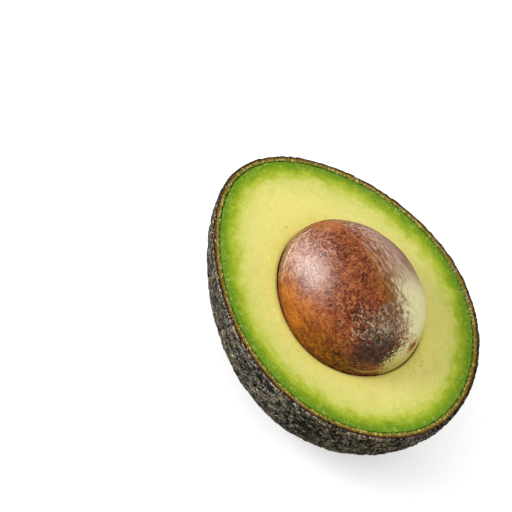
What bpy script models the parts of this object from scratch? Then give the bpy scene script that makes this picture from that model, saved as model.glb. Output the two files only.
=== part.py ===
# Half of a ripe dark-skinned avocado, cut lengthwise and lying on its back, with the
# seed still in its hollow. Three pieces: the pebbled peel, the flesh and the seed.
# Metres, +Z up. The half is shaped around the middle of its cut face, with +X towards
# the narrow stem end, and is then moved so that the origin lies under its middle.

import math

import bmesh
import bpy
from mathutils import Matrix, Vector, noise

# Outline of the cut face
length = 0.0940
width = 0.0722
back_depth = 0.0404  # from the cut face down to the back
taper = -0.0985  # slims the stem end and fills the blossom end
waist = -0.0696  # slims both ends
belly = 0.0328  # moves the widest place towards the blossom end
side_lean = -0.00136  # the outline bows to one side
neck_lean = -0.00091  # and the neck a little more than the other end

# Peel
peel_thickness = 0.0021
piece_gap = 0.0003
flat_trim = 0.0008  # taken off the back, so that the half rests on a small flat spot

# Pebbles of the skin, larger than life
pebble_pitch = 0.0053
pebble_stretch = 1.25  # they are longer along the fruit
pebble_height = 0.0012
pebble_valley = 0.6  # how wide the slope from a pebble's top to its valley is

# Stem button, just under the cut at the narrow end
button_angle = math.radians(13)  # from the tip of the narrow end, round under the cut
button_radius = 0.0037
button_proud = 0.0002
button_root = 0.0012
dimple_depth = 0.0008
dimple_radius = 0.0062
pucker_count = 11
pucker_height = 0.0003

# Seed
seed_length = 0.0474
seed_width = 0.0398
seed_taper = -0.0843
seed_offset = Vector((-0.00277, -0.00069, 0.00096))
seed_turn = math.radians(-5.1)

# Facets around the fruit and along it
skin_facets = (120, 58)
inner_facets = (48, 24)
seed_facets = (40, 22)
button_sides = 18


def half_width(angle):
    """Half-width of the outline at an angle from the stem tip, without its lean."""
    c = math.cos(angle)
    return 0.5 * width * math.sin(angle) * (1 + taper * c + waist * c**2 + belly * c**3)


def surface_point(angle, turn):
    """Point of the smooth skin. A turn of -90 degrees is the middle of the back."""
    radius = half_width(angle)
    lean = math.sin(angle) ** 2 * (side_lean + neck_lean * math.cos(angle))
    depth_ratio = back_depth / (0.5 * width)
    return Vector((
        0.5 * length * math.cos(angle),
        radius * math.cos(turn) + lean,
        radius * math.sin(turn) * depth_ratio,
    ))


def surface_normal(angle, turn, step=0.01):
    along = surface_point(angle + step, turn) - surface_point(angle - step, turn)
    around = surface_point(angle, turn + step) - surface_point(angle, turn - step)
    return along.cross(around).normalized()


def seed_point(angle, turn):
    """Point of the seed about its own middle, which is slimmer at the stem end."""
    radius = 0.5 * seed_width * math.sin(angle) * (1 + seed_taper * math.cos(angle))
    return Vector((
        0.5 * seed_length * math.cos(angle),
        radius * math.cos(turn),
        radius * math.sin(turn),
    ))


button_pole = Vector((math.cos(button_angle), 0, -math.sin(button_angle)))
button_centre = surface_point(button_angle, math.radians(-90))
button_axis = surface_normal(button_angle, math.radians(-90))
button_frame = button_axis.to_track_quat("Z", "Y").to_matrix()
seed_pole = Vector((1, 0, 0))


def smooth_step(value):
    value = min(max(value, 0.0), 1.0)
    return value * value * (3 - 2 * value)


def pebble_relief(point):
    """Height of the pebbles: a rounded top on each cell and a valley between cells."""
    cell = Vector((point.x / pebble_stretch, point.y, point.z)) / pebble_pitch
    distances = noise.voronoi(cell)[0]
    top = smooth_step((distances[1] - distances[0]) / pebble_valley)
    roll = noise.noise(point / (2.5 * pebble_pitch))
    return pebble_height * (top - 0.5 + 0.3 * roll)


def skin_relief(point):
    """Pebbles all over, and a puckered dimple round the stem button."""
    local = button_frame.transposed() @ (point - button_centre)
    distance = math.hypot(local.x, local.y)
    near = math.exp(-((distance / dimple_radius) ** 2)) if local.z > -0.5 * width else 0.0
    heading = math.atan2(local.y, local.x)
    ring = smooth_step(distance / button_radius - 0.6) * near
    puckers = pucker_height * math.cos(pucker_count * heading) * ring
    return pebble_relief(point) * (1 - near) - dimple_depth * near + puckers


def ball(name, facets, pole, place):
    """A closed round body, each point placed by its angle from +X and its turn about X.

    A facet ring starts at the pole and none of its points falls in the cut plane.
    """
    mesh = bpy.data.meshes.new(name)
    bm = bmesh.new()
    half_facet = Matrix.Rotation(math.pi / facets[0], 4, "Z")
    lay_down = pole.to_track_quat("Z", "Y").to_matrix().to_4x4() @ half_facet
    bmesh.ops.create_uvsphere(
        bm, u_segments=facets[0], v_segments=facets[1], radius=1.0, matrix=lay_down
    )
    for vertex in bm.verts:
        angle = math.acos(min(max(vertex.co.x, -1.0), 1.0))
        turn = math.atan2(vertex.co.z, vertex.co.y)
        vertex.co = place(angle, turn)
    bmesh.ops.triangulate(bm, faces=bm.faces)
    bm.to_mesh(mesh)
    bm.free()
    mesh.shade_smooth()
    return bpy.data.objects.new(name, mesh)


def skin_place(angle, turn):
    point = surface_point(angle, turn)
    if math.sin(angle) < 1e-6:
        normal = Vector((math.copysign(1.0, point.x), 0, 0))
    else:
        normal = surface_normal(angle, turn)
    return point + normal * skin_relief(point)


def inset_place(inset):
    """The smooth skin moved inwards by inset."""

    def place(angle, turn):
        point = surface_point(angle, turn)
        if math.sin(angle) < 1e-6:
            return point - Vector((math.copysign(inset, point.x), 0, 0))
        return point - surface_normal(angle, turn) * inset

    return place


def seed_place(grow):
    """The seed's surface, moved outwards by grow."""

    def place(angle, turn):
        scale = 1 + 2 * grow / seed_width
        return seed_point(angle, turn) * scale

    return place


def box(name, size, centre):
    mesh = bpy.data.meshes.new(name)
    bm = bmesh.new()
    matrix = Matrix.Translation(centre) @ Matrix.Diagonal((*size, 1.0))
    bmesh.ops.create_cube(bm, size=1.0, matrix=matrix)
    bm.to_mesh(mesh)
    bm.free()
    return bpy.data.objects.new(name, mesh)


def disc(name, radius, low, high):
    """A short round stub along Z, with its upper edge narrowed."""
    mesh = bpy.data.meshes.new(name)
    bm = bmesh.new()
    bmesh.ops.create_cone(
        bm, cap_ends=True, segments=button_sides, radius1=radius, radius2=radius * 0.88, depth=high - low,
        matrix=Matrix.Translation((0, 0, 0.5 * (low + high))),
    )
    bm.to_mesh(mesh)
    bm.free()
    return bpy.data.objects.new(name, mesh)


def material(name, color, roughness):
    mat = bpy.data.materials.new(name)
    mat.use_nodes = True
    shader = mat.node_tree.nodes["Principled BSDF"]
    shader.inputs["Base Color"].default_value = (*color, 1.0)
    shader.inputs["Roughness"].default_value = roughness
    shader.inputs["Metallic"].default_value = 0.0
    mat.diffuse_color = (*color, 1.0)
    return mat


def boolean(piece, operation, other):
    modifier = piece.modifiers.new(f"{operation.lower()}_{other.name}", "BOOLEAN")
    modifier.operation = operation
    modifier.solver = "EXACT"
    modifier.object = other


def add_cutter(cutters, cutter):
    cutters.objects.link(cutter)
    cutter.hide_render = True
    cutter.display_type = "WIRE"
    return cutter


def place_seed(piece):
    piece.location = seed_offset
    piece.rotation_euler = (0, 0, seed_turn)


def make_cutters(cutters):
    above = box("above_cut", (2 * length, 2 * width, length), (0, 0, 0.5 * length))
    rest_height = -back_depth + flat_trim
    below = box("below_rest", (length, width, 0.02), (0, 0, rest_height - 0.01))
    inside = ball("peel_inside", inner_facets, button_pole, inset_place(peel_thickness - 0.5 * piece_gap))
    hollow = ball("seed_hollow", seed_facets, seed_pole, seed_place(piece_gap))
    place_seed(hollow)
    stub = disc("stem_button", button_radius, -button_root, button_proud)
    stub.location = button_centre
    stub.rotation_euler = button_frame.to_euler()
    return [add_cutter(cutters, piece) for piece in (above, below, inside, hollow, stub)]


def make_peel(above, below, inside, stub):
    peel = ball("peel", skin_facets, button_pole, skin_place)
    peel.data.materials.append(material("peel", (0.052, 0.046, 0.034), 0.5))
    boolean(peel, "UNION", stub)
    boolean(peel, "DIFFERENCE", inside)
    boolean(peel, "DIFFERENCE", above)
    boolean(peel, "DIFFERENCE", below)
    return peel


def make_flesh(above, hollow):
    flesh = ball("flesh", inner_facets, button_pole, inset_place(peel_thickness + 0.5 * piece_gap))
    flesh.data.materials.append(material("flesh", (0.62, 0.62, 0.18), 0.45))
    boolean(flesh, "DIFFERENCE", above)
    boolean(flesh, "DIFFERENCE", hollow)
    return flesh


def make_seed():
    seed = ball("seed", seed_facets, seed_pole, seed_place(0.0))
    seed.data.materials.append(material("seed", (0.24, 0.085, 0.028), 0.38))
    place_seed(seed)
    return seed


def lowest_and_highest(pieces):
    bpy.context.view_layer.update()
    depsgraph = bpy.context.evaluated_depsgraph_get()
    points = []
    for piece in pieces:
        shape = piece.evaluated_get(depsgraph)
        points += [shape.matrix_world @ vertex.co for vertex in shape.data.vertices]
    low = Vector([min(point[i] for point in points) for i in range(3)])
    high = Vector([max(point[i] for point in points) for i in range(3)])
    return low, high


def main():
    for old in list(bpy.data.objects):
        bpy.data.objects.remove(old, do_unlink=True)
    avocado = bpy.data.collections.new("avocado_half")
    cutters = bpy.data.collections.new("cutters")
    for collection in (avocado, cutters):
        bpy.context.scene.collection.children.link(collection)
    above, below, inside, hollow, stub = make_cutters(cutters)
    pieces = [make_peel(above, below, inside, stub), make_flesh(above, hollow), make_seed()]
    for piece in pieces:
        avocado.objects.link(piece)
    low, high = lowest_and_highest(pieces)
    offset = Vector((-0.5 * (low.x + high.x), -0.5 * (low.y + high.y), -low.z))
    for piece in [*pieces, above, below, inside, hollow, stub]:
        piece.location += offset


main()
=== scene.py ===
import math

import bpy
import numpy as np
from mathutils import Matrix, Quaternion, Vector, noise


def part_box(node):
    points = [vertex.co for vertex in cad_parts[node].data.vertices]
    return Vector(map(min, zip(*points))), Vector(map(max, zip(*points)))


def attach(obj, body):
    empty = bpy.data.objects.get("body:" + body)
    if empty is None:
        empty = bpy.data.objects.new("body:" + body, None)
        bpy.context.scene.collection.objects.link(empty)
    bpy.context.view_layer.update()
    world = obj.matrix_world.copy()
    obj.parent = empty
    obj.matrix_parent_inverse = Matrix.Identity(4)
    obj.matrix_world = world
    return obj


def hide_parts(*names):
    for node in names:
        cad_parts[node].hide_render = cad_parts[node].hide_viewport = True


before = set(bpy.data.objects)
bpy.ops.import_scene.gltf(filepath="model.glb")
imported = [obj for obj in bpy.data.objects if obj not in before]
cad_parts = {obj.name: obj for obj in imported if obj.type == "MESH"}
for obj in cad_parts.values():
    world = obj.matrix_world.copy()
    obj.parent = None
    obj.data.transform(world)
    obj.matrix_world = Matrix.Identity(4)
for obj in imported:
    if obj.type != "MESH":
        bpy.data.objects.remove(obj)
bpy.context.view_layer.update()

# Half an avocado, cut lengthwise, lying on its back with the seed in place.
# Each piece is shaped round the middle of the cut face, with +X to the stem end,
# and is moved at the end to where the CAD has its cut face.

mm = 0.001
noise.seed_set(7)  # the same pebbles and wrinkles in each run

fruit = {
    "length": 94.0 * mm,
    "width": 72.2 * mm,
    "depth": 40.4 * mm,        # from the cut face down to the back
    "taper": -0.0985,          # slims the stem end
    "waist": -0.0696,          # slims both ends
    "belly": 0.0328,           # brings the widest place nearer the blossom end
    "sideLean": -1.36 * mm,    # the outline bows to one side
    "neckLean": -0.91 * mm,
    "peelThickness": 2.1 * mm,
    "flatTrim": 0.8 * mm,      # the small flat spot that it rests on
}

underLight = 0.74  # how much of its colour in the studio light a surface has by itself


def toLinear(color):
    # an sRGB colour as it looks in the studio light, 0 to 255, as Blender wants it
    parts = [value / 255 for value in color]
    return tuple(underLight * (v / 12.92 if v < 0.04045 else ((v + 0.055) / 1.055) ** 2.4) for v in parts)


def smoothStep(low, high, value):
    t = np.clip((value - low) / (high - low), 0, 1)
    return t * t * (3 - 2 * t)


# the shape of the fruit, from unit directions

def skinPoints(direction):
    c = direction[:, 0]
    swell = 1 + fruit["taper"] * c + fruit["waist"] * c**2 + fruit["belly"] * c**3
    lean = (1 - c**2) * (fruit["sideLean"] + fruit["neckLean"] * c)
    return np.stack([
        fruit["length"] / 2 * c,
        fruit["width"] / 2 * direction[:, 1] * swell + lean,
        fruit["depth"] * direction[:, 2] * swell,
    ], 1)


def skinNormals(direction):
    c, y, z = direction.T
    swell = 1 + fruit["taper"] * c + fruit["waist"] * c**2 + fruit["belly"] * c**3
    slope = fruit["taper"] + 2 * fruit["waist"] * c + 3 * fruit["belly"] * c**2
    leanSlope = -2 * c * (fruit["sideLean"] + fruit["neckLean"] * c) + (1 - c**2) * fruit["neckLean"]
    ny = y / (fruit["width"] / 2 * swell)
    nz = z / (fruit["depth"] * swell)
    along = (fruit["width"] / 2 * y * slope + leanSlope) * ny + fruit["depth"] * z * slope * nz
    nx = (c - along) / (fruit["length"] / 2)
    normal = np.stack([nx, ny, nz], 1)
    return normal / np.linalg.norm(normal, axis=1, keepdims=True)


# working on meshes

def deselectAll():
    if bpy.context.object and bpy.context.object.mode != "OBJECT":
        bpy.ops.object.mode_set(mode="OBJECT")
    bpy.ops.object.select_all(action="DESELECT")


def makeActive(piece):
    deselectAll()
    piece.select_set(True)
    bpy.context.view_layer.objects.active = piece


def readPoints(piece):
    points = np.zeros(len(piece.data.vertices) * 3, np.float32)
    piece.data.vertices.foreach_get("co", points)
    return points.reshape(-1, 3).astype(float)


def writePoints(piece, points):
    piece.data.vertices.foreach_set("co", np.asarray(points, np.float32).ravel())
    piece.data.update()


def storeValues(piece, name, values):
    # a value or a vector for each point, which the materials read
    values = np.asarray(values, np.float32)
    kind, field = ("FLOAT", "value") if values.ndim == 1 else ("FLOAT_VECTOR", "vector")
    attribute = piece.data.attributes.new(name, kind, "POINT")
    attribute.data.foreach_set(field, values.ravel())


def subdivideTimes(count):
    for _ in range(count):
        bpy.ops.mesh.select_all(action="SELECT")
        bpy.ops.mesh.subdivide(number_cuts=1)


def addBowl(name, around, down, radius):
    # the lower half of a ball, open at the cut, with each side of a face halved three times
    deselectAll()
    bpy.ops.mesh.primitive_uv_sphere_add(segments=around // 8, ring_count=down // 4, radius=radius)
    bowl = bpy.context.object
    bowl.name = name
    bpy.ops.object.mode_set(mode="EDIT")
    bpy.ops.mesh.select_all(action="SELECT")
    bpy.ops.mesh.bisect(plane_co=(0, 0, 0), plane_no=(0, 0, 1), clear_outer=True)
    subdivideTimes(3)
    bpy.ops.object.mode_set(mode="OBJECT")
    return bowl


def joinBowls(outer, inner, rings):
    # the inner bowl lines the outer one, and rings of faces join them across the cut
    makeActive(inner)
    bpy.ops.object.mode_set(mode="EDIT")
    bpy.ops.mesh.select_all(action="SELECT")
    bpy.ops.mesh.flip_normals()
    bpy.ops.object.mode_set(mode="OBJECT")
    makeActive(outer)
    inner.select_set(True)
    bpy.ops.object.join()
    bpy.ops.object.mode_set(mode="EDIT")
    bpy.ops.mesh.select_mode(type="EDGE")
    bpy.ops.mesh.select_all(action="DESELECT")
    bpy.ops.mesh.select_non_manifold()
    bpy.ops.mesh.bridge_edge_loops(number_cuts=rings, interpolation="LINEAR")
    bpy.ops.mesh.select_all(action="SELECT")
    bpy.ops.mesh.normals_make_consistent(inside=False)
    bpy.ops.object.mode_set(mode="OBJECT")
    return outer


def readBowls(piece, rings):
    # for each point its direction, which ring it is on from 0 outside to 1 inside, and if it is on the cut
    raw = readPoints(piece)
    reach = np.linalg.norm(raw, axis=1)
    direction = raw / reach[:, None]
    onTop = np.abs(raw[:, 2]) < 1e-5
    direction[onTop, 2] = 0
    across = np.round((1 - reach) / 0.5 * (rings + 1)) / (rings + 1)
    return direction, np.clip(across, 0, 1), onTop


def finishPiece(piece, node, material):
    piece.data.transform(Matrix.Translation(home))
    piece.data.update()
    makeActive(piece)
    bpy.ops.object.shade_smooth()
    piece.data.materials.clear()
    piece.data.materials.append(material)
    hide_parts(node)
    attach(piece, "root")
    print(piece.name, len(piece.data.polygons), "faces")


def directionsAround(count):
    angles = np.linspace(0, 2 * math.pi, count, endpoint=False)
    return np.stack([np.cos(angles), np.sin(angles), np.zeros(count)], 1)


# where the CAD has the middle of the cut face

fleshLow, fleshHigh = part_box("flesh")
rimDirections = directionsAround(720)
fleshRim = skinPoints(rimDirections) - skinNormals(rimDirections) * fruit["peelThickness"]
rimMiddle = (fleshRim.max(0) + fleshRim.min(0)) / 2
home = Vector((
    (fleshLow.x + fleshHigh.x) / 2 - rimMiddle[0],
    (fleshLow.y + fleshHigh.y) / 2 - rimMiddle[1],
    fleshHigh.z,
))
print("cut face at", [round(value / mm, 2) for value in home], "mm")


# nodes for the materials

def put(tree, kind, inputs=None, **settings):
    node = tree.nodes.new(kind)
    for name, value in settings.items():
        setattr(node, name, value)
    for name, value in (inputs or {}).items():
        if isinstance(value, bpy.types.NodeSocket):
            tree.links.new(value, node.inputs[name])
        else:
            node.inputs[name].default_value = value
    return node


def calculate(tree, operation, first, second=0.5, third=0.5):
    inputs = {0: first, 1: second, 2: third}
    return put(tree, "ShaderNodeMath", inputs, operation=operation).outputs[0]


def times(tree, first, second):
    return calculate(tree, "MULTIPLY", first, second)


def calculateVector(tree, operation, first, second):
    return put(tree, "ShaderNodeVectorMath", {0: first, 1: second}, operation=operation).outputs[0]


def mixColors(tree, factor, first, second):
    first, second = [(*toLinear(c), 1) if isinstance(c, tuple) else c for c in (first, second)]
    return put(tree, "ShaderNodeMix", {0: factor, 6: first, 7: second}, data_type="RGBA").outputs[2]


def layOver(tree, color, mask, strength, layer):
    # another colour over what is there already, where the mask is
    return mixColors(tree, times(tree, mask, strength), color, layer)


def mapRange(tree, value, fromLow, fromHigh, toLow=0.0, toHigh=1.0):
    inputs = {"Value": value, "From Min": fromLow, "From Max": fromHigh, "To Min": toLow, "To Max": toHigh}
    return put(tree, "ShaderNodeMapRange", inputs, interpolation_type="SMOOTHSTEP").outputs[0]


def colorBands(tree, value, stops):
    node = put(tree, "ShaderNodeValToRGB", {"Fac": value})
    elements = node.color_ramp.elements
    elements.remove(elements[1])
    elements[0].position = stops[0][0]
    elements[0].color = (*toLinear(stops[0][1]), 1)
    for position, color in stops[1:]:
        elements.new(position).color = (*toLinear(color), 1)
    return node.outputs["Color"]


def readValues(tree, name, vector=False):
    node = put(tree, "ShaderNodeAttribute", attribute_name=name)
    return node.outputs["Vector" if vector else "Fac"]


def millimetres(tree):
    inputs = {0: put(tree, "ShaderNodeTexCoord").outputs["Object"], "Scale": 1 / mm}
    return put(tree, "ShaderNodeVectorMath", inputs, operation="SCALE").outputs[0]


def newGroup(name, inputs, outputs):
    group = bpy.data.node_groups.new(name, "ShaderNodeTree")
    for socket, kind, value in inputs:
        made = group.interface.new_socket(socket, in_out="INPUT", socket_type=kind)
        made.default_value = value
    for socket, kind in outputs:
        group.interface.new_socket(socket, in_out="OUTPUT", socket_type=kind)
    return group, group.nodes.new("NodeGroupInput").outputs, group.nodes.new("NodeGroupOutput").inputs


def makeSpeckle():
    # irregular specks and blotches; Stretch is a scale for each direction
    group, given, result = newGroup("speckle", [
        ("Vector", "NodeSocketVector", (0, 0, 0)),
        ("Stretch", "NodeSocketVector", (1, 1, 1)),
        ("Size", "NodeSocketFloat", 1.0),
        ("Detail", "NodeSocketFloat", 3.0),
        ("Swirl", "NodeSocketFloat", 0.0),
        ("Low", "NodeSocketFloat", 0.4),
        ("High", "NodeSocketFloat", 0.6),
        ("Width", "NodeSocketFloat", 0.055),
    ], [("Mask", "NodeSocketFloat"), ("Height", "NodeSocketFloat"), ("Lines", "NodeSocketFloat")])
    place = calculateVector(group, "MULTIPLY", given["Vector"], given["Stretch"])
    scale = calculate(group, "DIVIDE", 1.0, given["Size"])
    cloud = put(group, "ShaderNodeTexNoise", {
        "Vector": place, "Scale": scale, "Detail": given["Detail"], "Roughness": 0.6,
        "Distortion": given["Swirl"],
    }).outputs["Fac"]
    group.links.new(mapRange(group, cloud, given["Low"], given["High"]), result["Mask"])
    group.links.new(cloud, result["Height"])
    fromMiddle = calculate(group, "ABSOLUTE", calculate(group, "SUBTRACT", cloud, 0.5))
    group.links.new(mapRange(group, fromMiddle, 0.0, given["Width"], 1.0, 0.0), result["Lines"])
    return group


def moveRaggedly(group, given, distance):
    # the edge of a patch moved in and out by the Ragged value
    shift = times(group, calculate(group, "SUBTRACT", given["Ragged"], 0.5), given["Amount"])
    return calculate(group, "ADD", distance, shift)


def makeBlob():
    # a soft-edged, ragged patch round a place; Stretch narrows it in each direction
    group, given, result = newGroup("blob", [
        ("Vector", "NodeSocketVector", (0, 0, 0)),
        ("Centre", "NodeSocketVector", (0, 0, 1)),
        ("Stretch", "NodeSocketVector", (1, 1, 1)),
        ("Ragged", "NodeSocketFloat", 0.5),
        ("Amount", "NodeSocketFloat", 0.1),
        ("Inner", "NodeSocketFloat", 0.1),
        ("Outer", "NodeSocketFloat", 0.3),
    ], [("Mask", "NodeSocketFloat")])
    offset = calculateVector(group, "SUBTRACT", given["Vector"], given["Centre"])
    offset = calculateVector(group, "MULTIPLY", offset, given["Stretch"])
    distance = put(group, "ShaderNodeVectorMath", {0: offset}, operation="LENGTH").outputs["Value"]
    edge = moveRaggedly(group, given, distance)
    mask = mapRange(group, edge, given["Inner"], given["Outer"], 1.0, 0.0)
    group.links.new(mask, result["Mask"])
    return group


def makeBand():
    # all on one side of a plane, with a ragged edge
    group, given, result = newGroup("band", [
        ("Vector", "NodeSocketVector", (0, 0, 0)),
        ("Direction", "NodeSocketVector", (0, 0, 1)),
        ("Ragged", "NodeSocketFloat", 0.5),
        ("Amount", "NodeSocketFloat", 0.1),
        ("Low", "NodeSocketFloat", 0.0),
        ("High", "NodeSocketFloat", 0.1),
    ], [("Mask", "NodeSocketFloat")])
    reach = put(group, "ShaderNodeVectorMath", {0: given["Vector"], 1: given["Direction"]},
                operation="DOT_PRODUCT").outputs["Value"]
    edge = moveRaggedly(group, given, reach)
    group.links.new(mapRange(group, edge, given["Low"], given["High"]), result["Mask"])
    return group


groups = {"speckle": makeSpeckle(), "blob": makeBlob(), "band": makeBand()}


def useGroup(tree, kind, output="Mask", **inputs):
    node = tree.nodes.new("ShaderNodeGroup")
    node.node_tree = groups[kind]
    for name, value in inputs.items():
        if isinstance(value, bpy.types.NodeSocket):
            tree.links.new(value, node.inputs[name])
        else:
            node.inputs[name].default_value = value
    return node.outputs[output]


def specks(tree, vector, size, low, high, **more):
    return useGroup(tree, "speckle", Vector=vector, Size=size, Low=low, High=high, **more)


def grainOf(tree, vector, size, **more):
    return useGroup(tree, "speckle", "Height", Vector=vector, Size=size, **more)


def linesOf(tree, vector, size, **more):
    return useGroup(tree, "speckle", "Lines", Vector=vector, Size=size, **more)


def patchAt(tree, vector, ragged, centre, inner, outer, amount, stretch=(1, 1, 1)):
    return useGroup(tree, "blob", Vector=vector, Centre=centre, Stretch=stretch, Ragged=ragged,
                    Amount=amount, Inner=inner, Outer=outer)


def sideOf(tree, vector, ragged, direction, low, high, amount):
    return useGroup(tree, "band", Vector=vector, Direction=direction, Ragged=ragged, Amount=amount,
                    Low=low, High=high)


def newMaterial(name, **values):
    # constant values go straight on the shader's own sockets
    material = bpy.data.materials.new(name)
    material.use_nodes = True
    shader = material.node_tree.nodes["Principled BSDF"]
    for socket, value in values.items():
        shader.inputs[socket].default_value = value
    return material, material.node_tree, shader.inputs


def addBump(tree, shaderInputs, height, distance, strength=1.0):
    inputs = {"Height": height, "Distance": distance, "Strength": strength}
    tree.links.new(put(tree, "ShaderNodeBump", inputs).outputs[0], shaderInputs["Normal"])


# peel

peel = {
    "around": 560,              # faces round it, down its outside and down its inside
    "down": 128,
    "innerDown": 24,
    "rimRings": 15,
    "pebblePitch": 2.0 * mm,
    "pebbleStretch": 2.0,       # longer along the fruit
    "pebbleSlope": 0.5,         # how far in from its edge a pebble still rises
    "pebbleHeight": 0.42 * mm,
    "pebbleLevel": 0.62,        # the part of that height which is below the smooth skin
    "rowPitch": 8.0 * mm,       # the pebbles lean together in wavy rows
    "rowShift": 1.6 * mm,
    "stragglePitch": 2.4 * mm,  # and each a little by itself
    "straggleShift": 0.45 * mm,
    "wrinklePitch": 1.5 * mm,
    "wrinkleStretch": 3.2,
    "wrinkleSharpness": 2.4,
    "wrinkleHeight": 0.18 * mm,
    "wrinkleLevel": 0.3,
    "wavePitch": 5.0 * mm,      # the wrinkles wander
    "waveShift": 1.2 * mm,
    "swellPitch": 6.0 * mm,
    "swellHeight": 0.25 * mm,
    "gritPitch": 0.7 * mm,
    "gritHeight": 0.06 * mm,
    "rimRelief": 0.4,           # share of the relief that is left at the cut
    "rimReach": 5.0 * mm,
    "corner": 0.6 * mm,         # the rounded outer edge of the cut, on a pebble
    "valleyCorner": 0.85 * mm,  # and between two
    "cornerDrop": 0.45 * mm,    # how far the faces under the corner move down
    "cornerFade": 0.25,         # and over which angle that dies away
    "crestHeight": 0.12 * mm,   # of the cut edge, half way across
    "rimPitch": 0.9 * mm,       # the cut edge is uneven
    "grooveDepth": 0.05 * mm,   # beside the flesh
    "grooveStart": 0.88,
    "grooveEnd": 0.99,
    "fleshGap": 0.02 * mm,
    # painted shade in the valleys and creases between the pebbles
    "shadedValleyColors": ((8, 8, 5), (12, 8, 6)),
    "crownColors": ((120, 114, 84), (130, 112, 88)),
    "mottleColor": (12, 12, 7),
    # pale lenticels, partly painted glints
    "fleckColor": (180, 168, 142),
    # painted highlight for the beads on the corner of the cut
    "paintedGlintColor": (196, 176, 156),
    "toothColor": (206, 190, 96),
    "cutColors": [              # across the cut, from the skin to the flesh
        (0.0, (26, 13, 7)), (0.26, (46, 20, 8)), (0.36, (84, 50, 14)), (0.48, (112, 84, 22)),
        (0.62, (136, 114, 34)), (0.78, (132, 122, 36)), (0.87, (104, 112, 28)), (0.94, (84, 100, 22)),
        (1.0, (70, 92, 18)),
    ],
}

button = {
    "angle": math.radians(13),  # from the tip, round under the cut
    "radius": 3.7 * mm,
    "dimpleDepth": 0.8 * mm,
    "dimpleRadius": 6.2 * mm,
    "puckers": 13,
    "puckerHeight": 0.3 * mm,
    "puckerWander": 0.25,
    "puckerPitch": 2.0 * mm,
    "sides": 48,
    "thickness": 1.6 * mm,
    "rootDepth": 0.75 * mm,     # from the skin in to the middle of the button
    "edgeRound": 0.35 * mm,
    "roughPitch": 1.1 * mm,
    "sideRoughness": 0.12,      # a share of the radius
    "topRoughness": 0.16 * mm,
    "hollow": 0.35 * mm,        # in the middle of its top
    "woodColors": ((150, 104, 58), (188, 142, 88)),
    "grainColor": (92, 58, 32),
}


def buttonPlace():
    direction = np.array([[math.cos(button["angle"]), 0, -math.sin(button["angle"])]])
    return Vector(skinPoints(direction)[0]), Vector(skinNormals(direction)[0])


def drift(point, pitch, shift):
    return noise.noise_vector(point / pitch) * shift


def pebbleAt(point):
    # 0 in the valleys, 1 on top of a pebble
    flow = drift(point, peel["rowPitch"], peel["rowShift"])
    flow += drift(point, peel["stragglePitch"], peel["straggleShift"])
    place = point + flow
    cell = Vector((place.x / peel["pebbleStretch"], place.y, place.z)) / peel["pebblePitch"]
    distances = noise.voronoi(cell)[0]
    top = min((distances[1] - distances[0]) / peel["pebbleSlope"], 1.0)
    return top * (2 - top)


def wrinkleAt(point):
    # fine ridges along the fruit, from -1 to 1
    place = point + drift(point, peel["wavePitch"], peel["waveShift"])
    along = Vector((place.x / peel["wrinkleStretch"], place.y, place.z))
    ridge = 1 - peel["wrinkleSharpness"] * abs(noise.noise(along / peel["wrinklePitch"]))
    return max(ridge, -1.0)


def skinRelief(points):
    centre, axis = buttonPlace()
    sideways = Vector((0, 1, 0))
    upwards = axis.cross(sideways)
    relief = np.zeros(len(points))
    for index, values in enumerate(points):
        point = Vector(values)
        height = peel["pebbleHeight"] * (pebbleAt(point) - peel["pebbleLevel"])
        height += peel["wrinkleHeight"] * (wrinkleAt(point) - peel["wrinkleLevel"])
        height += peel["swellHeight"] * noise.noise(point / peel["swellPitch"])
        height += peel["gritHeight"] * noise.noise(point / peel["gritPitch"])
        fromButton = point - centre
        distance = fromButton.length
        if distance < 4 * button["dimpleRadius"]:
            near = math.exp(-((distance / button["dimpleRadius"]) ** 2))
            heading = math.atan2(fromButton.dot(upwards), fromButton.dot(sideways))
            heading += button["puckerWander"] * noise.noise(point / button["puckerPitch"])
            ring = smoothStep(0.75, 1.25, distance / button["radius"]) * near
            folds = button["puckerHeight"] * math.cos(button["puckers"] * heading) * ring
            height = height * (1 - near) - button["dimpleDepth"] * near + folds
        relief[index] = height
    return relief


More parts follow.
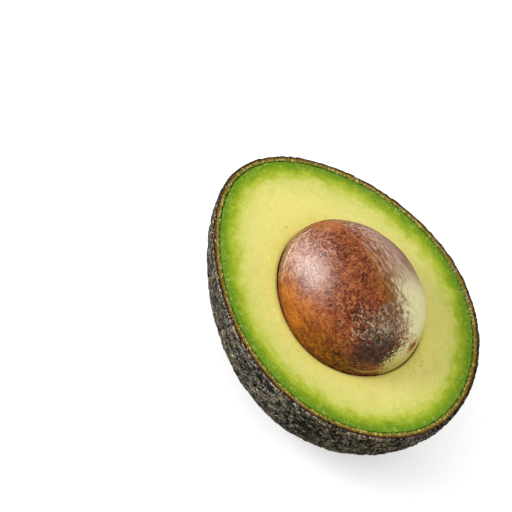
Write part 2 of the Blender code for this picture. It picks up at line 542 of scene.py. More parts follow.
def makePeel():
    outer = addBowl("peelPiece", peel["around"], peel["down"], 1.0)
    inner = addBowl("peelInside", peel["around"], peel["innerDown"], 0.5)
    piece = joinBowls(outer, inner, peel["rimRings"])
    direction, across, onRim = readBowls(piece, peel["rimRings"])
    across = across**1.5  # closer rings at the rounded corner
    # the outside starts just under the corner
    below = np.arcsin(np.clip(-direction[:, 2], 0, 1))
    heading = np.arctan2(direction[:, 1], direction[:, 0])
    rimPoints = skinPoints(direction)
    rimTops = np.array([pebbleAt(Vector(p)) if rim else 0.0 for p, rim in zip(rimPoints, onRim)])
    corner = peel["valleyCorner"] + (peel["corner"] - peel["valleyCorner"]) * rimTops
    drop = peel["cornerDrop"] * np.exp(-below / peel["cornerFade"])
    start = np.where(onRim, corner, drop) / fruit["depth"]
    outside = across < 1e-6
    below = below + np.where(outside, start, 0)
    level = np.cos(below)
    lowered = np.stack([level * np.cos(heading), level * np.sin(heading), -np.sin(below)], 1)
    base, normal = skinPoints(lowered), skinNormals(lowered)
    relief = skinRelief(base)
    storeValues(piece, "skinHeight", relief / mm)
    fromCut = np.maximum(-base[:, 2], 0)
    relief *= peel["rimRelief"] + (1 - peel["rimRelief"]) * smoothStep(0, peel["rimReach"], fromCut)
    outerPoints = base + normal * relief[:, None]
    innerPoints = base - normal * (fruit["peelThickness"] - peel["fleshGap"])
    points = outerPoints + (innerPoints - outerPoints) * across[:, None]
    # the cut edge: a rounded corner, a low crest, and a groove beside the flesh
    alongRim = np.array([noise.noise(Vector(p) / peel["rimPitch"]) for p in rimPoints[onRim]])
    rimAcross, radius = across[onRim], corner[onRim]
    fromEdge = np.minimum(rimAcross * fruit["peelThickness"], radius)
    rounding = radius - np.sqrt(radius**2 - (radius - fromEdge) ** 2)
    groove = smoothStep(peel["grooveStart"], peel["grooveEnd"], rimAcross + 0.3 * alongRim)
    crest = peel["crestHeight"] * np.sin(math.pi * rimAcross) * (0.5 + alongRim)
    points[onRim, 2] = crest - rounding - peel["grooveDepth"] * groove
    points[:, 2] = np.maximum(points[:, 2], fruit["flatTrim"] - fruit["depth"])
    writePoints(piece, points)
    storeValues(piece, "rimAcross", across)
    return piece


def peelMaterial():
    material, tree, shader = newMaterial("avocadoPeel", **{"IOR": 1.45, "Specular IOR Level": 0.21})
    place = millimetres(tree)
    height = readValues(tree, "skinHeight")
    across = readValues(tree, "rimAcross")
    # wavy wrinkles and small scales on the pebbles, longer along the fruit
    bend = put(tree, "ShaderNodeTexNoise", {"Vector": place, "Scale": 0.5, "Detail": 2.0}).outputs["Color"]
    bend = calculateVector(tree, "SUBTRACT", bend, (0.5, 0.5, 0.5))
    bend = calculateVector(tree, "MULTIPLY", bend, (2.4, 2.4, 2.4))
    bent = calculateVector(tree, "MULTIPLY", calculateVector(tree, "ADD", place, bend), (0.28, 1, 1))
    cells = put(tree, "ShaderNodeTexVoronoi", {"Vector": bent, "Scale": 0.75}, feature="DISTANCE_TO_EDGE")
    scale = mapRange(tree, cells.outputs["Distance"], 0.03, 0.4)
    streaks = specks(tree, bent, 1.1, 0.46, 0.6, Detail=2.0)
    ridges = linesOf(tree, bent, 2.6, Detail=1.0, Width=0.08)
    ridges = calculate(tree, "MAXIMUM", ridges, times(tree, streaks, 0.85))
    raised = mapRange(tree, height, -0.3, 0.14)
    lift = calculate(tree, "MAXIMUM", times(tree, scale, 0.45), ridges)
    lift = times(tree, lift, calculate(tree, "MULTIPLY_ADD", raised, 0.85, 0.2))
    blotch = specks(tree, place, 5.0, 0.3, 0.7, Detail=4.0)
    mottle = specks(tree, bent, 2.2, 0.42, 0.58, Detail=3.0, Swirl=0.6)
    # painted shade: the skin is near black in the valleys and creases, lighter on the crowns
    valley = mixColors(tree, blotch, *peel["shadedValleyColors"])
    crown = mixColors(tree, blotch, *peel["crownColors"])
    skin = mixColors(tree, lift, valley, crown)
    skin = layOver(tree, skin, mottle, 0.3, peel["mottleColor"])
    # small pale flecks on top of the wrinkles: partly the skin's pale lenticels, partly painted glints
    flecks = specks(tree, bent, 0.62, 0.53, 0.61, Stretch=(0.6, 1, 1), Detail=1.0)
    flecks = times(tree, flecks, mapRange(tree, lift, 0.2, 0.55))
    skin = layOver(tree, skin, flecks, 0.46, peel["fleckColor"])
    # painted highlight: bright beads along the rounded corner of the cut, on the side of the fruit that
    # faces the light
    glintBeads = specks(tree, place, 0.9, 0.54, 0.62, Detail=1.0)
    corner = times(tree, mapRange(tree, across, 0.005, 0.03), mapRange(tree, across, 0.1, 0.22, 1.0, 0.0))
    litSide = mapRange(tree, put(tree, "ShaderNodeSeparateXYZ", {0: place}).outputs[1], -4.0, 18.0)
    glintBeads = times(tree, times(tree, glintBeads, corner), litSide)
    skin = layOver(tree, skin, glintBeads, 0.7, peel["paintedGlintColor"])
    # the cut edge, from the skin to the flesh
    wander = grainOf(tree, place, 1.1, Detail=3.0)
    bands = calculate(tree, "ADD", across, calculate(tree, "MULTIPLY_ADD", wander, 0.5, -0.25))
    cut = colorBands(tree, bands, peel["cutColors"])
    teeth = specks(tree, place, 0.7, 0.54, 0.62, Detail=1.0)
    toothBand = times(tree, mapRange(tree, across, 0.5, 0.66), mapRange(tree, across, 0.95, 1.02, 1.0, 0.0))
    cut = layOver(tree, cut, times(tree, teeth, toothBand), 0.8, peel["toothColor"])
    onCut = mapRange(tree, calculate(tree, "MULTIPLY_ADD", wander, 0.12, across), 0.26, 0.32)
    tree.links.new(mixColors(tree, onCut, skin, cut), shader["Base Color"])
    shine = calculate(tree, "MULTIPLY_ADD", lift, -0.28, 0.5)
    shine = calculate(tree, "MULTIPLY_ADD", onCut, -0.12, shine)
    tree.links.new(shine, shader["Roughness"])
    relief = calculate(tree, "MULTIPLY_ADD", ridges, 0.8, times(tree, scale, 0.6))
    relief = calculate(tree, "MULTIPLY_ADD", grainOf(tree, place, 1.4, Detail=2.0), 1.2, relief)
    relief = times(tree, relief, calculate(tree, "MULTIPLY_ADD", onCut, -0.75, 1.0))
    addBump(tree, shader, relief, 0.85 * mm, 1.0)
    return material


# flesh

seed = {
    "length": 47.4 * mm,
    "width": 39.8 * mm,
    "taper": -0.0843,
    "offset": np.array([-2.77, -0.69, 0.96]) * mm,
    "turn": math.radians(-5.1),
    "around": 256,
    "along": 160,
    "lumps": [(0.2 * mm, 9.0 * mm), (0.06 * mm, 2.2 * mm), (0.03 * mm, 0.8 * mm)],  # height, pitch
    "sink": 0.1 * mm,
    "skinColors": ((100, 40, 12), (140, 66, 24)),
    # plain hairs, and pinkish white hairs round the highlight, partly painted highlight
    "hairColors": ((194, 118, 64), (222, 176, 150)),
    "speckColor": (50, 14, 8),
    "amberColor": (204, 126, 12),
    "amberStrokes": ((112, 44, 6), (222, 142, 40)),
    "shadeColor": (62, 42, 40),
    "fuzzColors": ((74, 58, 48), (178, 168, 138)),
    "wornColor": (200, 182, 138),
    "tanColor": (140, 102, 58),
    "hazeColors": ((184, 146, 130), (216, 182, 160)),
    "creamColors": ((204, 196, 106), (238, 232, 176)),
    "creamSpeckColor": (150, 130, 84),
    "threadColors": ((210, 172, 138), (118, 58, 38)),
    "lineDirection": (0.126, -0.472, -0.873),
    "lineColor": (222, 192, 170),
    "outsideColors": ((96, 52, 28), (178, 126, 88)),
    "lowLineDirection": (-0.838, 0.311, 0.448),
    "lowLineColor": (186, 160, 96),
    "scarPlace": (-0.898, -0.345, 0.25),
    "scarStretch": (1, 0.7, 1),
    "haloColor": (206, 152, 104),
    "scarColors": ((112, 52, 26), (176, 100, 64)),
}

flesh = {
    "around": 480,              # faces round it, down its outside and down the hollow
    "down": 36,
    "hollowDown": 40,
    "topRings": 46,
    "seedGap": 0.15 * mm,
    "lipWidth": 1.1 * mm,       # the flesh rounds off into the hollow
    "lipDepth": 0.25 * mm,
    "edgeWidth": 0.4 * mm,      # and beside the peel
    "edgeDepth": 0.08 * mm,
    "waveHeight": 0.14 * mm,
    "wavePitch": 11.0 * mm,
    "grainHeight": 0.03 * mm,
    "grainPitch": 0.9 * mm,
    "rimReach": 14.0,           # how far in from the peel the colour changes, in millimetres
    "rimColors": [
        (0.0, (76, 104, 18)), (0.012, (92, 128, 24)), (0.035, (104, 144, 30)), (0.065, (110, 148, 24)),
        (0.11, (120, 154, 22)), (0.16, (136, 164, 26)), (0.23, (158, 179, 38)),
        (0.3, (180, 193, 60)), (0.4, (203, 207, 94)), (0.51, (218, 217, 116)), (0.66, (227, 221, 124)),
        (0.82, (233, 224, 130)), (1.0, (237, 226, 128)),
    ],
    "nearSeedColor": (242, 226, 108),
    # painted shade where the flesh meets the seed
    "creaseShadeColor": (150, 122, 40),
    "fibreColor": (66, 116, 14),
    "fleckColor": (176, 208, 96),
    "dotColor": (240, 238, 164),
    "pitColor": (190, 182, 76),
    "patchyColor": (206, 192, 92),
    "scuffPlace": (-27.5, -6.0, 39.6),  # in millimetres
    "scuffColor": (128, 112, 44),
}


def turnAboutZ(points, angle):
    c, s = math.cos(angle), math.sin(angle)
    return points @ np.array([[c, s, 0], [-s, c, 0], [0, 0, 1]])


def seedPoints(direction, grow=0.0):
    c = direction[:, 0]
    taper = 1 + seed["taper"] * c
    points = np.stack([
        (seed["length"] / 2 + grow) * c,
        (seed["width"] / 2 + grow) * direction[:, 1] * taper,
        (seed["width"] / 2 + grow) * direction[:, 2] * taper,
    ], 1)
    return turnAboutZ(points, seed["turn"]) + seed["offset"]


def distanceTo(points, line):
    # distance from each point to a closed line on the cut face, and where it is nearest
    distance = np.full(len(points), 1e9)
    nearest = np.zeros((len(points), 2))
    for start in range(0, len(points), 2000):
        part = points[start:start + 2000, None, :2] - line[None, :, :2]
        gap = np.linalg.norm(part, axis=2)
        best = gap.argmin(1)
        distance[start:start + 2000] = gap.min(1)
        nearest[start:start + 2000] = line[best, :2]
    return distance, nearest


def makeFlesh():
    outer = addBowl("fleshPiece", flesh["around"], flesh["down"], 1.0)
    inner = addBowl("fleshHollow", flesh["around"], flesh["hollowDown"], 0.5)
    piece = joinBowls(outer, inner, flesh["topRings"])
    direction, across, onTop = readBowls(piece, flesh["topRings"])
    across -= 0.12 * np.sin(2 * math.pi * across)  # closer rings at both edges
    outerPoints = skinPoints(direction) - skinNormals(direction) * fruit["peelThickness"]
    innerPoints = seedPoints(direction, flesh["seedGap"])
    floorDepth = seed["width"] / 2 + flesh["seedGap"] - seed["offset"][2]
    innerPoints[:, 2] = -flesh["lipDepth"] + (floorDepth - flesh["lipDepth"]) * direction[:, 2]
    points = outerPoints + (innerPoints - outerPoints) * across[:, None]
    fromRim, nearest = distanceTo(points, fleshRim)
    fromSeed, _ = distanceTo(points, seedPoints(rimDirections, flesh["seedGap"]))
    top = points[onTop].copy()
    top[:, 2] = 0
    lip = np.clip(1 - fromSeed[onTop] / flesh["lipWidth"], 0, 1)
    edge = np.clip(1 - fromRim[onTop] / flesh["edgeWidth"], 0, 1)
    waves = np.array([noise.noise(Vector(p) / flesh["wavePitch"]) for p in top])
    grain = np.array([noise.noise(Vector(p) / flesh["grainPitch"]) for p in top])
    height = flesh["waveHeight"] * waves + flesh["grainHeight"] * grain
    height -= flesh["lipDepth"] * lip**2 * (1 + 0.5 * grain)
    height -= flesh["edgeDepth"] * edge**2 * (1 + 0.8 * grain)
    points[onTop, 2] = height
    writePoints(piece, points)
    under = ~onTop & (across < 0.5)
    inHollow = ~onTop & (across >= 0.5)
    fromRim[under] = 0
    fromSeed[inHollow] = 0
    fromRim[inHollow] = flesh["rimReach"] * mm
    storeValues(piece, "rimDistance", fromRim / mm)
    storeValues(piece, "seedDistance", fromSeed / mm)
    storeValues(piece, "rimPlace", np.column_stack([nearest / mm, fromRim / mm * 0.12]))
    return piece


def fleshMaterial():
    material, tree, shader = newMaterial("avocadoFlesh", **{
        "IOR": 1.4, "Specular IOR Level": 0.08, "Subsurface Weight": 0.1, "Subsurface Scale": 0.003,
        "Subsurface Radius": (1.0, 0.9, 0.3),
    })
    place = millimetres(tree)
    rimDistance = readValues(tree, "rimDistance")
    seedDistance = readValues(tree, "seedDistance")
    rimPlace = readValues(tree, "rimPlace", vector=True)
    radial = grainOf(tree, rimPlace, 1.0, Detail=3.0)
    along = grainOf(tree, rimPlace, 1.0, Stretch=(0.22, 0.22, 6.0), Detail=4.0, Swirl=0.3)
    cloud = grainOf(tree, place, 6.0, Detail=3.0)
    fine = grainOf(tree, place, 1.0, Detail=4.0, Swirl=0.5)
    # the green edge wanders, more where it is already pale
    wander = calculate(tree, "MULTIPLY_ADD", radial, 0.6, -0.3)
    wander = calculate(tree, "ADD", wander, calculate(tree, "MULTIPLY_ADD", along, 4.4, -2.2))
    wander = calculate(tree, "ADD", wander, calculate(tree, "MULTIPLY_ADD", cloud, 4.8, -2.4))
    wander = calculate(tree, "ADD", wander, calculate(tree, "MULTIPLY_ADD", fine, 1.2, -0.6))
    wander = times(tree, wander, mapRange(tree, rimDistance, 0.0, 4.0, 0.08, 1.0))
    depth = calculate(tree, "ADD", rimDistance, wander)
    color = colorBands(tree, calculate(tree, "DIVIDE", depth, flesh["rimReach"]), flesh["rimColors"])
    nearSeed = mapRange(tree, seedDistance, 0.3, 5.5, 1.0, 0.0)
    color = layOver(tree, color, nearSeed, 0.4, flesh["nearSeedColor"])
    # painted shade in the crease where the flesh meets the seed
    creaseShade = mapRange(tree, seedDistance, 0.0, 0.7, 0.35, 0.0)
    color = mixColors(tree, creaseShade, color, flesh["creaseShadeColor"])
    # darker green fibres in the rim, and pale flecks
    rimBand = mapRange(tree, rimDistance, 0.6, 4.5, 1.0, 0.0)
    fibres = linesOf(tree, rimPlace, 0.8, Stretch=(0.8, 0.8, 6.0), Detail=2.0, Swirl=0.6)
    color = layOver(tree, color, times(tree, fibres, rimBand), 0.5, flesh["fibreColor"])
    flecks = linesOf(tree, rimPlace, 0.9, Stretch=(0.7, 0.7, 4.0), Detail=1.0, Swirl=0.8)
    flecks = times(tree, flecks, specks(tree, place, 1.0, 0.52, 0.6, Detail=2.0))
    color = layOver(tree, color, times(tree, flecks, rimBand), 0.7, flesh["fleckColor"])
    dots = specks(tree, place, 0.8, 0.54, 0.68, Detail=3.0)
    dots = times(tree, dots, mapRange(tree, rimDistance, 2.5, 7.0, 0.1, 0.4))
    color = mixColors(tree, dots, color, flesh["dotColor"])
    pits = specks(tree, place, 2.0, 0.52, 0.76, Detail=4.0, Swirl=0.8)
    color = layOver(tree, color, pits, 0.28, flesh["pitColor"])
    patchy = mapRange(tree, cloud, 0.5, 0.7)
    patchy = times(tree, patchy, mapRange(tree, rimDistance, 4.0, 9.0, 0.0, 0.3))
    color = mixColors(tree, patchy, color, flesh["patchyColor"])
    # scuffs where the blunt end of the seed was pressed
    scuffed = patchAt(tree, place, cloud, flesh["scuffPlace"], 2.0, 6.0, 3.0)
    marks = specks(tree, place, 0.9, 0.58, 0.64, Detail=2.0, Swirl=1.0)
    color = layOver(tree, color, times(tree, marks, scuffed), 0.5, flesh["scuffColor"])
    tree.links.new(color, shader["Base Color"])
    tree.links.new(mapRange(tree, fine, 0.2, 0.8, 0.4, 0.55), shader["Roughness"])
    addBump(tree, shader, fine, 0.08 * mm, 0.5)
    return material


# seed

def makeSeed():
    deselectAll()
    segments, rings = seed["around"] // 8, seed["along"] // 8
    bpy.ops.mesh.primitive_uv_sphere_add(segments=segments, ring_count=rings, rotation=(0, math.pi / 2, 0))
    piece = bpy.context.object
    piece.name = "seedPiece"
    bpy.ops.object.transform_apply(location=False, rotation=True, scale=False)
    bpy.ops.object.mode_set(mode="EDIT")
    subdivideTimes(3)
    bpy.ops.object.mode_set(mode="OBJECT")
    direction = readPoints(piece)
    direction /= np.linalg.norm(direction, axis=1, keepdims=True)
    points = seedPoints(direction)
    size = np.array([seed["length"], seed["width"], seed["width"]])
    outward = turnAboutZ(direction / size, seed["turn"])
    outward /= np.linalg.norm(outward, axis=1, keepdims=True)
    lumps = np.array([
        sum(height * noise.noise(Vector(p) / pitch) for height, pitch in seed["lumps"]) for p in points
    ])
    points += outward * (lumps - seed["sink"])[:, None]
    writePoints(piece, points)
    storeValues(piece, "seedSide", direction)
    return piece


# patches of the seed: colour, strength, centre, stretch, inner and outer reach, raggedness
seedPatches = [
    ((200, 122, 62), 0.6, (0.72, 0.02, 0.66), (1, 1, 1), 0.06, 0.34, 0.5),
    ((190, 152, 140), 0.75, (0.62, 0.66, 0.4), (0.8, 1, 1), 0.1, 0.42, 0.4),
    ((110, 30, 14), 0.6, (-0.46, 0.42, 0.78), (0.8, 1, 1), 0.1, 0.36, 0.4),
    # the amber side darkens towards the blunt end and down to the flesh: partly the seed's own colour,
    # partly painted shade where it turns from the light into the hollow
    ((180, 100, 2), 0.9, (0.15, 0.96, 0.22), (0.7, 1, 1.5), 0.1, 0.46, 0.6),
    ((158, 80, 4), 0.85, (-0.2, 0.93, 0.3), (0.8, 1, 1.1), 0.15, 0.5, 0.6),
    ((104, 54, 4), 0.85, (-0.52, 0.84, 0.12), (1, 1, 1), 0.15, 0.5, 0.5),
    ((54, 28, 2), 0.9, (-0.8, 0.6, 0.02), (1, 1, 1), 0.15, 0.42, 0.4),
    ((136, 58, 42), 0.75, (0.4, 0.87, 0.29), (1, 1, 1), 0.04, 0.17, 0.2),
    ((140, 76, 8), 0.8, (-0.34, 0.01, 0.93), (0.7, 1.5, 1), 0.05, 0.26, 0.3),
    ((176, 124, 62), 0.7, (0.08, -0.07, 0.99), (0.7, 1.6, 1), 0.02, 0.14, 0.2),
    ((88, 38, 30), 0.75, (-0.56, 0.37, 0.74), (0.9, 1.2, 1), 0.08, 0.3, 0.3),
    # painted shade on the side of the seed away from the light
    ((60, 40, 36), 0.92, (-0.87, 0.25, 0.4), (1, 0.8, 1), 0.12, 0.34, 0.3),
    ((70, 44, 50), 0.8, (0.26, -0.14, 0.95), (0.7, 1.4, 1), 0.01, 0.09, 0.12),
    ((74, 40, 50), 0.7, (0.16, -0.15, 0.975), (0.8, 1.6, 1), 0.01, 0.08, 0.12),
    ((70, 40, 44), 0.8, (0.05, 0.02, 0.998), (1, 1.4, 1), 0.005, 0.05, 0.08),
    ((100, 52, 50), 0.6, (-0.03, 0.07, 0.997), (0.8, 1.5, 1), 0.01, 0.09, 0.1),
    ((112, 84, 104), 0.6, (0.53, 0.43, 0.73), (1.2, 1, 1.4), 0.005, 0.06, 0.06),
]


def seedMaterial():
    material, tree, shader = newMaterial("avocadoSeed", **{"IOR": 1.5, "Specular IOR Level": 0.16})
    place = millimetres(tree)
    side = readValues(tree, "seedSide", vector=True)
    cloud = grainOf(tree, place, 2.4, Detail=5.0)
    weave = grainOf(tree, place, 1.2, Detail=3.0, Swirl=1.0)
    hairs = linesOf(tree, place, 1.4, Detail=1.0, Swirl=0.8)
    longHairs = linesOf(tree, side, 0.07, Stretch=(0.6, 1, 1), Detail=1.0, Swirl=1.0)
    hairs = calculate(tree, "MAXIMUM", hairs, longHairs)
    threads = grainOf(tree, side, 0.055, Stretch=(0.26, 1, 1), Detail=2.0, Swirl=0.3)
    blotch = specks(tree, place, 3.2, 0.35, 0.65, Detail=4.0)
    color = mixColors(tree, blotch, *seed["skinColors"])
    for patch, strength, centre, stretch, inner, outer, amount in seedPatches:
        mask = patchAt(tree, side, cloud, centre, inner, outer, amount, stretch)
        color = layOver(tree, color, mask, strength, patch)
    # short pale hairs, and dark specks between them; amber with strokes on one side
    hair = times(tree, hairs, mapRange(tree, weave, 0.38, 0.56, 0.15, 1.0))
    speck = times(tree, mapRange(tree, weave, 0.5, 0.38), calculate(tree, "SUBTRACT", 1.0, hairs))
    amber = sideOf(tree, side, cloud, (-0.2, 0.95, -0.2), 0.5, 0.9, 0.3)
    strength = calculate(tree, "MULTIPLY_ADD", amber, -0.2, 0.68)
    # the hairs turn pinkish white round the highlight, with fewer dark specks: partly their own colour,
    # partly painted highlight
    highlightPink = patchAt(tree, side, cloud, (0.55, 0.6, 0.6), 0.2, 0.62, 0.4)
    hairColor = mixColors(tree, highlightPink, *seed["hairColors"])
    hairColor = mixColors(tree, amber, hairColor, seed["amberColor"])
    color = layOver(tree, color, hair, strength, hairColor)
    specked = calculate(tree, "MULTIPLY_ADD", highlightPink, -0.28, strength)
    color = layOver(tree, color, speck, specked, seed["speckColor"])
    for stroke, low, high, strength in zip(seed["amberStrokes"], (0.48, 0.54), (0.4, 0.62), (0.5, 0.24)):
        strokes = times(tree, mapRange(tree, threads, low, high), amber)
        color = layOver(tree, color, strokes, strength, stroke)
    shade = patchAt(tree, side, cloud, (-0.87, 0.27, 0.4), 0.14, 0.36, 0.3, (1, 0.75, 1))
    color = layOver(tree, color, shade, 0.6, seed["shadeColor"])
    # a grey fuzz and pale strokes where the brown skin wears thin
    fuzz = patchAt(tree, side, cloud, (-0.7, 0.09, 0.7), 0.06, 0.34, 0.6, (1, 0.75, 1))
    color = layOver(tree, color, fuzz, 0.5, seed["fuzzColors"][0])
    fuzzy = calculate(tree, "MAXIMUM", hair, mapRange(tree, threads, 0.54, 0.62, 0.0, 0.7))
    color = layOver(tree, color, times(tree, fuzz, fuzzy), 0.8, seed["fuzzColors"][1])
    worn = patchAt(tree, side, cloud, (-0.6, 0.4, 0.69), 0.12, 0.38, 0.2, (0.8, 1, 1))
    wornLines = times(tree, mapRange(tree, threads, 0.56, 0.63), mapRange(tree, weave, 0.38, 0.54))
    color = layOver(tree, color, times(tree, worn, wornLines), 0.75, seed["wornColor"])
    # the far side is paler: lavender towards the stem, cream towards the other end
    alongSeed, acrossSeed, upSeed = put(tree, "ShaderNodeSeparateXYZ", {0: side}).outputs
    strands = grainOf(tree, side, 0.036, Stretch=(0.2, 1, 1), Detail=2.0, Swirl=0.3)
    mixed = calculate(tree, "MULTIPLY_ADD", strands, 0.75, times(tree, cloud, 0.25))
    mixed = mapRange(tree, mixed, 0.34, 0.66)
    tan = sideOf(tree, side, cloud, (0, -1, 0), -0.08, 0.22, 0.3)
    tan = times(tree, tan, mapRange(tree, alongSeed, 0.35, -0.15))
    color = layOver(tree, color, tan, 0.6, seed["tanColor"])
    sidePale = sideOf(tree, side, mixed, (0, -1, 0), 0.04, 0.44, 0.26)
    haze = times(tree, sidePale, calculate(tree, "MULTIPLY_ADD", mixed, 0.65, 0.25))
    hazeColor = mixColors(tree, mapRange(tree, acrossSeed, -0.8, -0.4), *seed["hazeColors"])
    color = mixColors(tree, haze, color, hazeColor)
    endCap = sideOf(tree, side, mixed, (-0.971, -0.2, 0.1), 0.925, 0.975, 0.07)
    creamSide = times(tree, sidePale, mapRange(tree, alongSeed, -0.05, -0.5))
    cream = calculate(tree, "MAXIMUM", creamSide, endCap)
    creamColor = mixColors(tree, mapRange(tree, upSeed, 0.05, 0.5), *seed["creamColors"])
    creamColor = layOver(tree, creamColor, speck, 0.2, seed["creamSpeckColor"])
    color = layOver(tree, color, cream, 0.95, creamColor)
    # a thin light line and loose threads beside the flesh
    line = sideOf(tree, side, cloud, seed["lineDirection"], -0.5, -0.475, 0.04)
    outside = sideOf(tree, side, cloud, seed["lineDirection"], -0.465, -0.44, 0.04)
    nearLine = patchAt(tree, side, weave, (0.66, 0.62, 0.33), 0.34, 0.5, 0.3)
    ring = times(tree, times(tree, line, calculate(tree, "SUBTRACT", 1.0, outside)), nearLine)
    ring = times(tree, ring, mapRange(tree, weave, 0.38, 0.56))
    paleThreads = times(tree, mapRange(tree, threads, 0.5, 0.6), nearLine)
    darkThreads = times(tree, mapRange(tree, threads, 0.48, 0.4), nearLine)
    color = layOver(tree, color, paleThreads, 0.3, seed["threadColors"][0])
    color = layOver(tree, color, darkThreads, 0.5, seed["threadColors"][1])
    outsideColor = mixColors(tree, mapRange(tree, weave, 0.4, 0.6), *seed["outsideColors"])
    color = layOver(tree, color, times(tree, outside, nearLine), 0.7, outsideColor)
    color = layOver(tree, color, ring, 0.9, seed["lineColor"])
    # and one at the blunt end
    lowLine = sideOf(tree, side, cloud, seed["lowLineDirection"], 0.925, 0.917, 0.02)
    lowEdge = sideOf(tree, side, cloud, seed["lowLineDirection"], 0.9, 0.908, 0.02)
    nearLow = patchAt(tree, side, weave, (-0.96, 0.2, 0.1), 0.12, 0.4, 0.2)
    lowRing = times(tree, times(tree, lowLine, lowEdge), nearLow)
    color = layOver(tree, color, lowRing, 0.6, seed["lowLineColor"])
    # the scar at the blunt end
    scarPlace, scarStretch = seed["scarPlace"], seed["scarStretch"]
    halo = patchAt(tree, side, weave, scarPlace, 0.07, 0.15, 0.08, scarStretch)
    color = layOver(tree, color, halo, 0.7, seed["haloColor"])
    scar = patchAt(tree, side, weave, scarPlace, 0.05, 0.08, 0.12, scarStretch)
    color = mixColors(tree, scar, color, mixColors(tree, mixed, *seed["scarColors"]))
    tree.links.new(color, shader["Base Color"])
    tree.links.new(mapRange(tree, weave, 0.3, 0.7, 0.36, 0.44), shader["Roughness"])
    relief = calculate(tree, "MULTIPLY_ADD", hairs, 0.4, weave)
    addBump(tree, shader, relief, 0.06 * mm, 0.7)
    return material


# stem button

def makeButton():
    centre, axis = buttonPlace()
    deselectAll()
    bpy.ops.mesh.primitive_cylinder_add(
        vertices=button["sides"], radius=button["radius"], depth=button["thickness"])
    piece = bpy.context.object
    piece.name = "stemButton"
    bpy.ops.object.mode_set(mode="EDIT")
    bpy.ops.mesh.select_all(action="SELECT")
    bpy.ops.mesh.bevel(offset=button["edgeRound"], segments=3, affect="EDGES")
    bpy.ops.mesh.select_all(action="SELECT")
    bpy.ops.mesh.subdivide(number_cuts=2)
    bpy.ops.object.mode_set(mode="OBJECT")
    points = readPoints(piece)
    rough = np.array([noise.noise_vector(Vector(p) / button["roughPitch"]) for p in points])
    inward = np.clip(1 - np.linalg.norm(points[:, :2], axis=1) / button["radius"], 0, 1)
    onTop = points[:, 2] > 0
    points[:, :2] *= 1 + button["sideRoughness"] * rough[:, :1]
    points[:, 2] += onTop * (button["topRoughness"] * rough[:, 2] - button["hollow"] * inward)
    writePoints(piece, points)
    turn = axis.to_track_quat("Z", "Y").to_matrix().to_4x4()
    piece.data.transform(Matrix.Translation(centre - axis * button["rootDepth"]) @ turn)
    return piece


def buttonMaterial():
    material, tree, shader = newMaterial("stemWood", **{"IOR": 1.45, "Specular IOR Level": 0.3})
    place = millimetres(tree)
    blotch = specks(tree, place, 1.6, 0.35, 0.65, Detail=4.0)
    grain = specks(tree, place, 0.5, 0.4, 0.65, Detail=4.0)
    color = mixColors(tree, blotch, *button["woodColors"])
    color = layOver(tree, color, grain, 0.5, button["grainColor"])
    tree.links.new(color, shader["Base Color"])
    tree.links.new(mapRange(tree, grain, 0.0, 1.0, 0.6, 0.8), shader["Roughness"])
    addBump(tree, shader, grain, 0.15 * mm, 0.7)
    return material


# studio

studio = {
    "azimuth": math.radians(123.213),   # of the camera, from +X towards +Y
    "elevation": math.radians(54.713),
    "roll": math.radians(28.62),
    "distance": 0.7953,
    "lens": 202.79,
    "nearClip": 0.05,
    "aim": (19.83 * mm, 15.99 * mm, 0),  # on the cut face, from its middle
    "floorSize": 4.0,
    "floorDrop": 0.05 * mm,
    "floorColor": (0.93, 0.93, 0.93, 1),
    "keyDirection": (0.657, 0.635, 0.407),
    "keySize": 1.5,
    "keyPower": 50.0,
    "sheenDirection": (0.780, 0.547, 0.306),
    "sheenSize": 1.25,
    "sheenPower": 270.0,        # a card that only shines in what is glossy
    "lightDistance": 2.4,
    "skyStrength": 1.12,
    "skySheen": 0.1,            # how bright the room looks in what is glossy
    "floorGlow": 0.17,          # the floor is a light table
}


def makeFloor():
    deselectAll()
    bpy.ops.mesh.primitive_plane_add(size=studio["floorSize"], location=(0, 0, -studio["floorDrop"]))
    floor = bpy.context.object
    floor.name = "floor"
    bpy.ops.object.transform_apply()
    material = newMaterial("floor", **{
        "Base Color": studio["floorColor"], "Roughness": 0.9, "Emission Color": (1, 1, 1, 1),
        "Emission Strength": studio["floorGlow"],
    })
    floor.data.materials.append(material[0])
    floor.visible_glossy = False


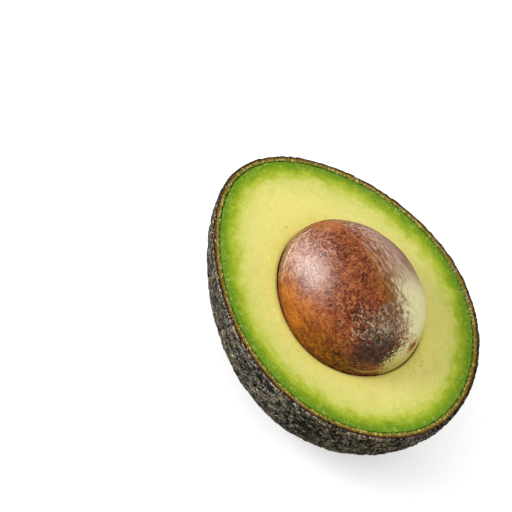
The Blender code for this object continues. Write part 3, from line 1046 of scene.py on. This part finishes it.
def makeCamera():
    data = bpy.data.cameras.new("camera")
    data.lens = studio["lens"]
    data.clip_start = studio["nearClip"]
    camera = bpy.data.objects.new("camera", data)
    bpy.context.scene.collection.objects.link(camera)
    back = Vector((
        math.cos(studio["elevation"]) * math.cos(studio["azimuth"]),
        math.cos(studio["elevation"]) * math.sin(studio["azimuth"]),
        math.sin(studio["elevation"]),
    ))
    camera.location = home + Vector(studio["aim"]) + back * studio["distance"]
    upright = (-back).to_track_quat("-Z", "Y")
    camera.rotation_mode = "QUATERNION"
    camera.rotation_quaternion = upright @ Quaternion((0, 0, 1), studio["roll"])
    bpy.context.scene.camera = camera


def addSoftbox(name, direction, size, power):
    direction = Vector(direction).normalized()
    data = bpy.data.lights.new(name, "AREA")
    data.shape = "DISK"
    data.size = size
    data.energy = power
    light = bpy.data.objects.new(name, data)
    bpy.context.scene.collection.objects.link(light)
    light.location = home + direction * studio["lightDistance"]
    light.rotation_euler = direction.to_track_quat("Z", "Y").to_euler()
    return light


def makeLights():
    addSoftbox("keyLight", studio["keyDirection"], studio["keySize"], studio["keyPower"])
    card = addSoftbox("sheenCard", studio["sheenDirection"], studio["sheenSize"], studio["sheenPower"])
    card.visible_diffuse = False
    world = bpy.data.worlds.new("studio")
    world.use_nodes = True
    tree = world.node_tree
    glossy = tree.nodes.new("ShaderNodeLightPath").outputs["Is Glossy Ray"]
    dimmer = studio["skyStrength"] * (studio["skySheen"] - 1)
    strength = calculate(tree, "MULTIPLY_ADD", glossy, dimmer, studio["skyStrength"])
    background = tree.nodes["Background"].inputs
    background["Color"].default_value = (1, 1, 1, 1)
    tree.links.new(strength, background["Strength"])
    bpy.context.scene.world = world
    bpy.context.scene.view_settings.view_transform = "Standard"


finishPiece(makePeel(), "peel", peelMaterial())
finishPiece(makeButton(), "peel", buttonMaterial())
finishPiece(makeFlesh(), "flesh", fleshMaterial())
finishPiece(makeSeed(), "seed", seedMaterial())
makeFloor()
makeCamera()
makeLights()
print("studio ready")
